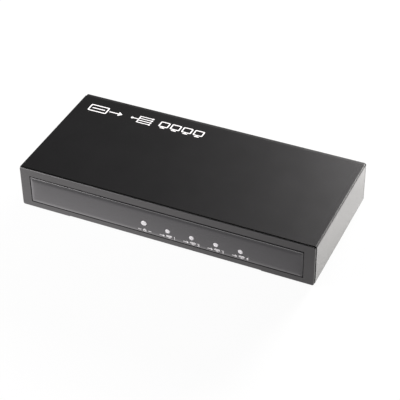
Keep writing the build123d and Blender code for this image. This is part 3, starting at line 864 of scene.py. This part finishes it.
def label_front(front, x, z):
    """How far forward the label's face is at a place, as a y coordinate."""
    side = min(x - label_low.x, label_high.x - x)
    end = min(z - label_low.z, label_top - z)
    inward = max(0.0, min(side, end))
    # The slope rises evenly from the upright edge, and eases into the face over the blend
    width, blend = front.slope_width, front.slope_blend
    slope_top = label_low.y + front.lens_dome + front.crown
    steepness = (label_high.y - front.edge_height - slope_top) / width
    turned = min(max(0.0, inward - (width - blend)), 2 * blend)
    rise = steepness * (min(inward, width + blend) - turned * turned / (4 * blend))
    # The slope's foot is rounded back to the upright edge
    rounded = EDGE_DROP_SHARE * front.edge_round * max(0.0, 1 - inward / front.edge_round) ** 2
    # The crown is highest along the middle and fades out towards both ends
    middle = (label_low.z + label_top) / 2
    reach = (label_top - label_low.z) / 2 - width
    across = max(0.0, 1 - ((z - middle) / reach) ** 2)
    along = min(1.0, max(0.0, side - width) / (CROWN_RUN_SHARE * width))
    crown = front.crown * across * along * (2 - along)
    return label_high.y - front.edge_height - rise - crown + rounded


def grid_levels(low, high, stops, step):
    """Levels from low to high that include the stops and are at most about a step apart."""
    marks = sorted({low, high, *stops})
    levels = []
    for start, end in zip(marks, marks[1:]):
        count = max(1, round((end - start) / step))
        levels += [start + (end - start) * number / count for number in range(count)]
    return levels + [high]


def nearest(levels, value):
    """The number of the level that lies nearest to a value."""
    return min(range(len(levels)), key=lambda number: abs(levels[number] - value))


def label_panel(front):
    """The domed glossy panel with a round hole for each light window."""
    build = bmesh.new()
    steps = [front.edge_round * share for share in EDGE_STEP_SHARES]
    steps += [front.slope_width + front.slope_blend * share for share in BLEND_STEP_SHARES]
    x_stops = [label_low.x + step for step in steps] + [label_high.x - step for step in steps]
    z_stops = [label_low.z + step for step in steps] + [label_top - step for step in steps]
    windows = window_places()
    for x, z, radius in windows:
        x_stops += [x - HOLE_PATCH, x + HOLE_PATCH]
        z_stops += [z - HOLE_PATCH, z + HOLE_PATCH]
    xs = grid_levels(label_low.x, label_high.x, x_stops, LABEL_STEP_ALONG)
    zs = grid_levels(label_low.z, label_top, z_stops, LABEL_STEP_UP)
    holes = []
    for x, z, radius in windows:
        columns = (nearest(xs, x - HOLE_PATCH), nearest(xs, x + HOLE_PATCH))
        rows = (nearest(zs, z - HOLE_PATCH), nearest(zs, z + HOLE_PATCH))
        holes.append(((*columns, *rows), (x, z, radius + HOLE_GAP)))

    def face(x, z):
        return label_front(front, x, z)

    def back(x, z):
        return label_high.y

    face_rims = label_layer(build, xs, zs, holes, face)
    back_rims = label_layer(build, xs, zs, holes, back)
    for face_rim, back_rim in zip(face_rims, back_rims):
        bridge(build, face_rim, back_rim)
    return build


def label_layer(build, xs, zs, holes, depth):
    """One side of the panel, as a grid with round holes. Returns the rims to join."""
    grid = [[build.verts.new((x, depth(x, z), z)) for z in zs] for x in xs]
    for i in range(len(xs) - 1):
        for j in range(len(zs) - 1):
            if any(i0 <= i < i1 and j0 <= j < j1 for (i0, i1, j0, j1), hole in holes):
                continue
            domed_cell(build, grid[i][j], grid[i + 1][j], grid[i + 1][j + 1], grid[i][j + 1])
    rims = [edge_loop(grid, 0, len(xs) - 1, 0, len(zs) - 1)]
    for (i0, i1, j0, j1), (x, z, radius) in holes:
        rims.append(hole_rings(build, edge_loop(grid, i0, i1, j0, j1), x, z, radius, depth))
        for i in range(i0 + 1, i1):
            for j in range(j0 + 1, j1):
                build.verts.remove(grid[i][j])
    return rims


def domed_cell(build, a, b, c, d):
    """A grid cell. Where it isn't flat, it is two triangles that fold along its prouder diagonal."""
    fold = (a.co.y + c.co.y) - (b.co.y + d.co.y)
    if abs(fold) < FLAT_FOLD:
        build.faces.new((a, b, c, d))
    elif fold < 0:
        build.faces.new((a, b, c))
        build.faces.new((a, c, d))
    else:
        build.faces.new((a, b, d))
        build.faces.new((b, c, d))


def edge_loop(grid, i0, i1, j0, j1):
    """The vertices round a rectangle of a grid, in order."""
    loop = [grid[i][j0] for i in range(i0, i1)]
    loop += [grid[i1][j] for j in range(j0, j1)]
    loop += [grid[i][j1] for i in range(i1, i0, -1)]
    loop += [grid[i0][j] for j in range(j1, j0, -1)]
    return loop


def hole_rings(build, outer, x, z, radius, depth):
    """Rings of faces from a square patch's edge to a round hole. Returns the hole's loop."""
    previous = outer
    for ring in range(1, HOLE_RINGS + 1):
        share = ring / HOLE_RINGS
        current = []
        for vertex in outer:
            angle = math.atan2(vertex.co.z - z, vertex.co.x - x)
            u = vertex.co.x + (x + radius * math.cos(angle) - vertex.co.x) * share
            v = vertex.co.z + (z + radius * math.sin(angle) - vertex.co.z) * share
            current.append(build.verts.new((u, depth(u, v), v)))
        bridge(build, previous, current)
        previous = current
    return previous


def turned_profile(build, profile, x, z, steps=40):
    """A round piece about a line from front to back. The profile is (radius, y) pairs."""
    rows = []
    for radius, y in profile:
        if radius == 0:
            rows.append([build.verts.new((x, y, z))])
            continue
        rows.append([
            build.verts.new((x + radius * math.cos(angle), y, z + radius * math.sin(angle)))
            for angle in (2 * math.pi * step / steps for step in range(steps))
        ])
    for first, second in zip(rows, rows[1:]):
        for step in range(steps):
            ends = [first[(step - 1) % len(first)], first[step % len(first)]]
            ends += [second[step % len(second)], second[(step - 1) % len(second)]]
            build.faces.new(list(dict.fromkeys(ends)))


# Operators: one for each piece or group of like pieces

class SPLITTER_OT_sleeve(bpy.types.Operator):
    """Paint the sleeve and plate the inner tray"""

    bl_idname = "splitter.sleeve"
    bl_label = "Sleeve and Tray"

    def execute(self, context):
        finish = context.scene.splitter_finish
        dress("top_cover", satin_paint(finish.paint_colour, finish.texture_depth))
        dress("chassis_tray", plated_steel("zinc_plated_sheet", (0.62, 0.62, 0.63)))
        return {"FINISHED"}


class SPLITTER_OT_bezels(bpy.types.Operator):
    """Give both bezels their moulded plastic"""

    bl_idname = "splitter.bezels"
    bl_label = "Bezels"

    def execute(self, context):
        colour = context.scene.splitter_finish.bezel_colour
        front = moulded_black("moulded_front_bezel", colour, 0.28, 0.34, shine=0.75, coat=0.4)
        rear = moulded_black("moulded_rear_bezel", colour, 0.42, 0.52, shine=0.1)
        dress("front_bezel", front)
        dress("rear_bezel", rear)
        return {"FINISHED"}


class SPLITTER_OT_label(bpy.types.Operator):
    """Build the domed glossy label of the front"""

    bl_idname = "splitter.label"
    bl_label = "Front Label"

    def execute(self, context):
        gloss = glossy_label(context.scene.splitter_finish.label_colour)
        build = label_panel(context.scene.splitter_front)
        finished_piece(
            "front_label_panel", build, gloss, ["front_label"], math.radians(50)
        )
        return {"FINISHED"}


class SPLITTER_OT_windows(bpy.types.Operator):
    """Build the light windows and finish the lamps behind them"""

    bl_idname = "splitter.windows"
    bl_label = "Light Windows"

    def execute(self, context):
        front = context.scene.splitter_front
        clear = milky_window("milky_window", context.scene.splitter_finish.window_colour)
        power, *outputs = window_places()
        groups = (
            ("power_light_window", [power], "power_window"),
            ("output_light_windows", outputs, "output_windows"),
        )
        for name, places, replaced in groups:
            build = bmesh.new()
            for x, z, radius in places:
                turned_profile(build, window_profile(front, x, z, radius, replaced), x, z)
            finished_piece(name, build, clear, [replaced])
        resin = milky_window("lamp_resin", (0.75, 0.78, 0.75))
        for name in ("power_led", "output_leds"):
            dress(name, resin)
        return {"FINISHED"}


def window_profile(front, x, z, radius, replaced):
    """The turned outline of a light window: a domed face, a straight stem and a collar."""
    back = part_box(replaced)[1].y
    face = label_front(front, x, z)
    flat = radius - WINDOW_RIM
    collar = radius + WINDOW_COLLAR
    collar_front = back - WINDOW_COLLAR_DEPTH
    profile = [(0, face - front.lens_dome)]
    for share in WINDOW_RING_SHARES:
        profile.append((flat * share, face - front.lens_dome * (1 - share * share)))
    rim = WINDOW_RIM * WINDOW_RIM_SHARE
    profile += [(flat, face), (radius - rim, face + rim), (radius, face + WINDOW_RIM)]
    return profile + [(radius, collar_front), (collar, collar_front), (collar, back), (0, back)]


class SPLITTER_OT_top_signs(bpy.types.Operator):
    """Print the signs on top of the sleeve: a player, a fork and four screens"""

    bl_idname = "splitter.top_signs"
    bl_label = "Signs on the Sleeve"

    def execute(self, context):
        printing = context.scene.splitter_printing
        stroke = printing.top_stroke
        height = printing.top_height
        left = cover_low.x + SIGN_SIDE_MARGIN
        bottom = cover_high.y - SIGN_REAR_MARGIN
        fork_left = left + FORK_START
        fork_stroke = stroke * FORK_STROKE_SHARE
        screens_left = left + SCREENS_START
        signs = {
            "top_sign_player": player_sign(left, bottom, PLAYER_WIDTH, height, stroke),
            "top_sign_fork": fork_sign(fork_left, bottom, FORK_WIDTH, height, fork_stroke),
            "top_sign_screens": screens_sign(screens_left, bottom, SCREENS_WIDTH, height, stroke),
        }

        def place(u, v, rise):
            return Vector((u, v, cover_high.z + rise))

        white = printed_ink(context.scene.splitter_finish.ink_colour)
        print_signs(signs, printing, white, place)
        return {"FINISHED"}


def player_sign(x, z, width, height, stroke):
    """A flat player with a slot, and an arrow out of it."""
    sign = Sign()
    right = x + width * 0.56
    low = z + height * SIGN_INSET_SHARE
    high = z + height * (1 - SIGN_INSET_SHARE)
    middle = (low + high) / 2
    corner = stroke * 1.2
    slot_inset = stroke * 2.6
    arrow_gap = stroke * 1.3
    arrow_head = stroke * 3.4
    sign.frame(x, low, right, high, stroke, corner)
    sign.line(x + slot_inset, right - slot_inset, middle, stroke)
    sign.arrow(right + arrow_gap, x + width, middle, stroke, arrow_head)
    return sign


def fork_sign(x, z, width, height, stroke):
    """One line that forks into four, each with a dot at its end."""
    sign = Sign()
    bar = x + width * 0.34
    dot = stroke * 1.1
    first_dot = dot * 1.2
    start = x + dot * 2.2
    end = x + width - 2 * dot
    rows = [z + dot + (height - 2 * dot) * number / (OUTPUTS - 1) for number in range(OUTPUTS)]
    middle = (rows[0] + rows[-1]) / 2
    sign.area(disc(x + first_dot, middle, first_dot))
    sign.line(start, bar, middle, stroke)
    sign.area(rectangle(bar, rows[0] - stroke / 2, bar + stroke, rows[-1] + stroke / 2))
    for row in rows:
        sign.line(bar + stroke, end, row, stroke)
        sign.area(disc(end + dot, row, dot))
    return sign


def screens_sign(x, z, width, height, stroke):
    """A screen for each output, side by side."""
    sign = Sign()
    gap = stroke * 1.6
    each = (width - gap * (OUTPUTS - 1)) / OUTPUTS
    low = z + height * SIGN_INSET_SHARE
    high = z + height * (1 - SIGN_INSET_SHARE)
    for number in range(OUTPUTS):
        left = x + (each + gap) * number
        sign.screen(left, low, left + each, high, stroke)
    return sign


class SPLITTER_OT_captions(bpy.types.Operator):
    """Print a sign under each light: power, and screens with the numbers 1 to 4"""

    bl_idname = "splitter.captions"
    bl_label = "Captions Under the Lights"

    def execute(self, context):
        front = context.scene.splitter_front
        printing = context.scene.splitter_printing
        bottom = front.caption_bottom
        height = front.caption_height
        stroke = printing.small_stroke
        power, *outputs = window_places()
        signs = {"power_caption": power_sign(power[0] + POWER_SHIFT, bottom, height, stroke)}
        for number, (x, z, radius) in enumerate(outputs, 1):
            sign = output_sign(x + OUTPUT_SHIFT, bottom, height, stroke, number)
            signs[f"output_{number}_caption"] = sign

        def place(u, v, rise):
            return Vector((u, label_front(front, u, v) - rise, v))

        white = printed_ink(context.scene.splitter_finish.ink_colour)
        levels = grid_levels(bottom, bottom + height, [], CAPTION_STEP)[1:-1]
        print_signs(signs, printing, white, place, levels)
        return {"FINISHED"}


def power_sign(x, z, height, stroke):
    """The usual power sign: a ring open at the top with an upright bar, between two dashes."""
    sign = Sign()
    dash = 1.9 * MM
    radius = height / 2
    middle = z + radius
    sign.open_ring(x, middle, radius, stroke, *POWER_RING)
    sign.area(rectangle(x - stroke / 2, middle, x + stroke / 2, z + height))
    reach = radius + 2 * stroke
    sign.line(x - reach - dash, x - reach, middle, stroke)
    sign.line(x + reach, x + reach + dash, middle, stroke)
    return sign


def output_sign(x, z, height, stroke, number):
    """An arrow into a small screen, and the number of the output."""
    sign = Sign()
    arrow_left, arrow_right, arrow_head = -5.3 * MM, -2.1 * MM, 1.2 * MM
    screen_left, screen_right = -1.4 * MM, 2.1 * MM
    digit_middle = 3.6 * MM
    sign.arrow(x + arrow_left, x + arrow_right, z + height / 2, stroke, arrow_head)
    sign.screen(x + screen_left, z, x + screen_right, z + height, stroke)
    sign.areas += numeral(number, height, x + digit_middle, z).areas
    return sign


class SPLITTER_OT_rear_signs(bpy.types.Operator):
    """Print signs over the sockets and the power jack"""

    bl_idname = "splitter.rear_signs"
    bl_label = "Signs on the Rear Bezel"

    def execute(self, context):
        printing = context.scene.splitter_printing
        height = printing.rear_height
        stroke = printing.small_stroke * REAR_STROKE_SHARE
        jack_height = height * JACK_SIGN_SHARE
        bottom = SOCKET_SIGN_BOTTOM
        signs = {}
        for number in range(1, OUTPUTS + 1):
            x = seen_from_behind(f"output_{number}_socket_shell")
            signs[f"output_{number}_rear_sign"] = screen_sign(x, bottom, height, stroke, number)
        x = seen_from_behind("input_socket_shell")
        signs["input_rear_sign"] = input_sign(x, bottom, height, stroke)
        x = seen_from_behind("power_jack_housing")
        signs["power_rear_sign"] = polarity_sign(x, JACK_SIGN_BOTTOM, jack_height, stroke)
        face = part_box("rear_bezel")[1].y - REAR_FACE_SINK

        def place(u, v, rise):
            return Vector((-u, face + rise, v))

        white = printed_ink(context.scene.splitter_finish.ink_colour)
        print_signs(signs, printing, white, place)
        return {"FINISHED"}


def seen_from_behind(name):
    """How far a node's middle lies to the right, seen from behind."""
    low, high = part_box(name)
    return -(low.x + high.x) / 2


def screen_sign(x, z, height, stroke, number):
    """A screen, and the number of the output."""
    sign = Sign()
    screen_left, screen_right = -3.4 * MM, 1.0 * MM
    digit_middle = 2.9 * MM
    sign.screen(x + screen_left, z, x + screen_right, z + height, stroke)
    sign.areas += numeral(number, height, x + digit_middle, z).areas
    return sign


def input_sign(x, z, height, stroke):
    """An arrow into an open frame."""
    sign = Sign()
    arrow_left, arrow_right, arrow_head = -4.4 * MM, 0.4 * MM, 1.3 * MM
    left = x - 0.6 * MM
    right = x + 3.6 * MM
    top = z + height
    sign.arrow(x + arrow_left, x + arrow_right, z + height / 2, stroke, arrow_head)
    sign.area([
        (left, z), (right, z), (right, top), (left, top), (left, top - stroke),
        (right - stroke, top - stroke), (right - stroke, z + stroke), (left, z + stroke),
    ])
    return sign


def polarity_sign(x, z, height, stroke):
    """The usual sign of a barrel jack: minus, a cup round a dot, and plus."""
    sign = Sign()
    wire = 2.6 * MM
    arm = 0.75 * MM
    radius = height / 2
    middle = z + radius
    reach = radius + wire
    sign.open_ring(x, middle, radius, stroke, *JACK_RING)
    sign.area(disc(x, middle, stroke))
    sign.line(x + stroke * 1.3, x + reach, middle, stroke)
    sign.line(x - reach, x - radius - stroke, middle, stroke)
    plus = x + reach + stroke + arm
    minus = x - reach - stroke - arm
    half = stroke / 2
    sign.area([
        (plus - arm, middle - half), (plus - half, middle - half), (plus - half, middle - arm),
        (plus + half, middle - arm), (plus + half, middle - half), (plus + arm, middle - half),
        (plus + arm, middle + half), (plus + half, middle + half), (plus + half, middle + arm),
        (plus - half, middle + arm), (plus - half, middle + half), (plus - arm, middle + half),
    ])
    sign.line(minus - arm, minus + arm, middle, stroke)
    return sign


class SPLITTER_OT_fasteners(bpy.types.Operator):
    """Finish the screws, the standoffs and the rubber feet"""

    bl_idname = "splitter.fasteners"
    bl_label = "Screws and Feet"

    def execute(self, context):
        oxide = black_oxide()
        for name in ("cover_screws", "rear_bezel_screws"):
            dress(name, oxide)
        zinc = soft_metal("zinc_plated_screw", (0.66, 0.66, 0.68), 0.22, 0.38)
        for name in ("board_screws", "board_standoffs", "front_bezel_screws"):
            dress(name, zinc)
        dress("rubber_feet", foot_rubber())
        return {"FINISHED"}


class SPLITTER_OT_sockets(bpy.types.Operator):
    """Finish the video sockets: shells, insulators and contacts"""

    bl_idname = "splitter.sockets"
    bl_label = "Video Sockets"

    def execute(self, context):
        nickel = soft_metal("nickel_plated_shell", (0.70, 0.69, 0.66), 0.16, 0.3)
        insulator = moulded_black("socket_insulator", (0.022, 0.022, 0.022), 0.36, 0.5)
        gold = soft_metal("gold_flashed_contact", (0.83, 0.62, 0.26), 0.18, 0.3)
        names = ["input_socket"] + [f"output_{number}_socket" for number in range(1, OUTPUTS + 1)]
        for name in names:
            dress(f"{name}_shell", nickel)
            dress(f"{name}_core", insulator)
            dress(f"{name}_contacts", gold)
        return {"FINISHED"}


class SPLITTER_OT_power_jack(bpy.types.Operator):
    """Finish the power jack, its pin and its spring"""

    bl_idname = "splitter.power_jack"
    bl_label = "Power Jack"

    def execute(self, context):
        dress("power_jack_housing", moulded_black("jack_plastic", (0.024, 0.024, 0.025), 0.4, 0.55))
        nickel = soft_metal("nickel_plated_pin", (0.72, 0.71, 0.69), 0.14, 0.26)
        for name in ("power_jack_center_pin", "power_jack_spring"):
            dress(name, nickel)
        return {"FINISHED"}


class SPLITTER_OT_electronics(bpy.types.Operator):
    """Finish the circuit board and what stands on it"""

    bl_idname = "splitter.electronics"
    bl_label = "Board and Electronics"

    def execute(self, context):
        dress("main_board", solder_mask())
        dress("led_holders", moulded_black("lamp_holder", (0.024, 0.024, 0.025)))
        chips = ("splitter_chip", "control_chip", "memory_chip")
        epoxy = moulded_epoxy()
        for name in (*chips, "voltage_regulators"):
            dress(name, epoxy)
        tin = soft_metal("tinned_lead", (0.72, 0.72, 0.73), 0.25, 0.42)
        for name in (*(f"{chip}_leads" for chip in chips), "regulator_leads", "led_legs"):
            dress(name, tin)
        dress("thermal_pad", silicone_pad())
        dress("heat_sink", plated_steel("extruded_aluminium", (0.60, 0.60, 0.62), 0.3, 0.45))
        dress("clock_crystal", soft_metal("crystal_can", (0.70, 0.70, 0.71), 0.15, 0.28))
        dress("power_coil", moulded_black("coil_ferrite", (0.075, 0.075, 0.08), 0.55, 0.7))
        dress("filter_capacitors", soft_metal("capacitor_can", (0.75, 0.75, 0.76), 0.25, 0.4))
        ceramic = small_ceramic()
        for name in ("line_resistors", "surge_guards"):
            dress(name, ceramic)
        return {"FINISHED"}


class SPLITTER_OT_stage(bpy.types.Operator):
    """Set up the floor, the dark room, the soft lamps and the camera"""

    bl_idname = "splitter.stage"
    bl_label = "Stage"

    def execute(self, context):
        stage = context.scene.splitter_stage
        white_sweep(stage)
        dark_room(context.scene, stage.room_level)
        for name, (place, size) in LAMPS.items():
            tint = stage.side_tint if name == "side_light" else stage.lamp_tint
            soft_light(name, place, size, getattr(stage, name), tint)
        place_camera(context.scene, stage)
        context.scene.view_settings.view_transform = "Standard"
        return {"FINISHED"}


def white_sweep(stage):
    """A round white floor whose rim curves up."""
    build = bmesh.new()
    profile = [(radius, 0.0) for radius in FLOOR_RINGS]
    for step in range(1, RIM_STEPS + 1):
        turn = RIM_TURN * step / RIM_STEPS
        out, up = RIM_RADIUS * math.sin(turn), RIM_RADIUS * (1 - math.cos(turn))
        profile.append((FLOOR_RINGS[-1] + out, up))
    turns = [2 * math.pi * side / FLOOR_SIDES for side in range(FLOOR_SIDES)]
    rings = [
        [build.verts.new((radius * math.cos(turn), radius * math.sin(turn), z)) for turn in turns]
        for radius, z in profile
    ]
    build.faces.new(rings[0])
    for inner, outer in zip(rings, rings[1:]):
        bridge(build, outer, inner)
    mesh = bpy.data.meshes.new("white_sweep")
    build.to_mesh(mesh)
    build.free()
    mesh.shade_smooth()
    mesh.materials.append(white_floor(stage))
    floor = bpy.data.objects.new("white_sweep", mesh)
    bpy.context.scene.collection.objects.link(floor)


def dark_room(scene, level):
    """An even dark room over the white floor."""
    world = bpy.data.worlds.new("dark_room")
    world.use_nodes = True
    background = world.node_tree.nodes["Background"]
    background.inputs["Color"].default_value = (level, level, level, 1)
    background.inputs["Strength"].default_value = 1.0
    scene.world = world


def soft_light(name, place, size, power, colour):
    """A soft rectangular lamp that points at the box."""
    light = bpy.data.lights.new(name, "AREA")
    light.shape = "RECTANGLE"
    light.size, light.size_y = size
    light.energy = power
    light.color = colour
    holder = bpy.data.objects.new(name, light)
    holder.location = place
    holder.rotation_euler = (case_middle - Vector(place)).to_track_quat("-Z", "Y").to_euler()
    bpy.context.scene.collection.objects.link(holder)


def place_camera(scene, stage):
    """The camera, by its angles about the aim point."""
    camera = bpy.data.cameras.new("camera")
    camera.lens = stage.lens
    camera.sensor_width = SENSOR_WIDTH
    camera.clip_start = NEAR_CLIP
    holder = bpy.data.objects.new("camera", camera)
    flat = math.cos(stage.elevation)
    back = Vector((
        math.sin(stage.azimuth) * flat, -math.cos(stage.azimuth) * flat, math.sin(stage.elevation)
    ))
    turn = (-back).to_track_quat("-Z", "Y").to_matrix() @ Matrix.Rotation(stage.roll, 3, "Z")
    holder.matrix_world = Matrix.Translation(Vector(stage.aim) + back * stage.distance) @ turn.to_4x4()
    scene.collection.objects.link(holder)
    scene.camera = holder


class SPLITTER_PT_panel(bpy.types.Panel):
    """Everything that builds the splitter box"""

    bl_idname = "SPLITTER_PT_panel"
    bl_label = "Video Splitter Box"
    bl_space_type = "VIEW_3D"
    bl_region_type = "UI"
    bl_category = "Splitter"

    def draw(self, context):
        for group in SETTINGS:
            values = getattr(context.scene, group)
            box = self.layout.box()
            for name in values.bl_rna.properties.keys():
                if name not in ("rna_type", "name"):
                    box.prop(values, name)
        for operator in OPERATORS:
            self.layout.operator(operator.bl_idname)


SETTINGS = {
    "splitter_finish": SplitterFinish,
    "splitter_front": SplitterFront,
    "splitter_printing": SplitterPrinting,
    "splitter_stage": SplitterStage,
}
OPERATORS = (
    SPLITTER_OT_sleeve,
    SPLITTER_OT_bezels,
    SPLITTER_OT_label,
    SPLITTER_OT_windows,
    SPLITTER_OT_top_signs,
    SPLITTER_OT_captions,
    SPLITTER_OT_rear_signs,
    SPLITTER_OT_fasteners,
    SPLITTER_OT_sockets,
    SPLITTER_OT_power_jack,
    SPLITTER_OT_electronics,
    SPLITTER_OT_stage,
)
CLASSES = (*SETTINGS.values(), *OPERATORS, SPLITTER_PT_panel)


def register():
    """Adds the classes and the settings to Blender."""
    for added in CLASSES:
        bpy.utils.register_class(added)
    for name, group in SETTINGS.items():
        setattr(bpy.types.Scene, name, PointerProperty(type=group))


def unregister():
    """Takes the settings and the classes away again."""
    for name in SETTINGS:
        delattr(bpy.types.Scene, name)
    for added in reversed(CLASSES):
        bpy.utils.unregister_class(added)


def main():
    """Builds everything."""
    register()
    for operator in OPERATORS:
        group, action = operator.bl_idname.split(".")
        getattr(getattr(bpy.ops, group), action)()
    bpy.context.view_layer.update()


if __name__ == "__main__":
    main()
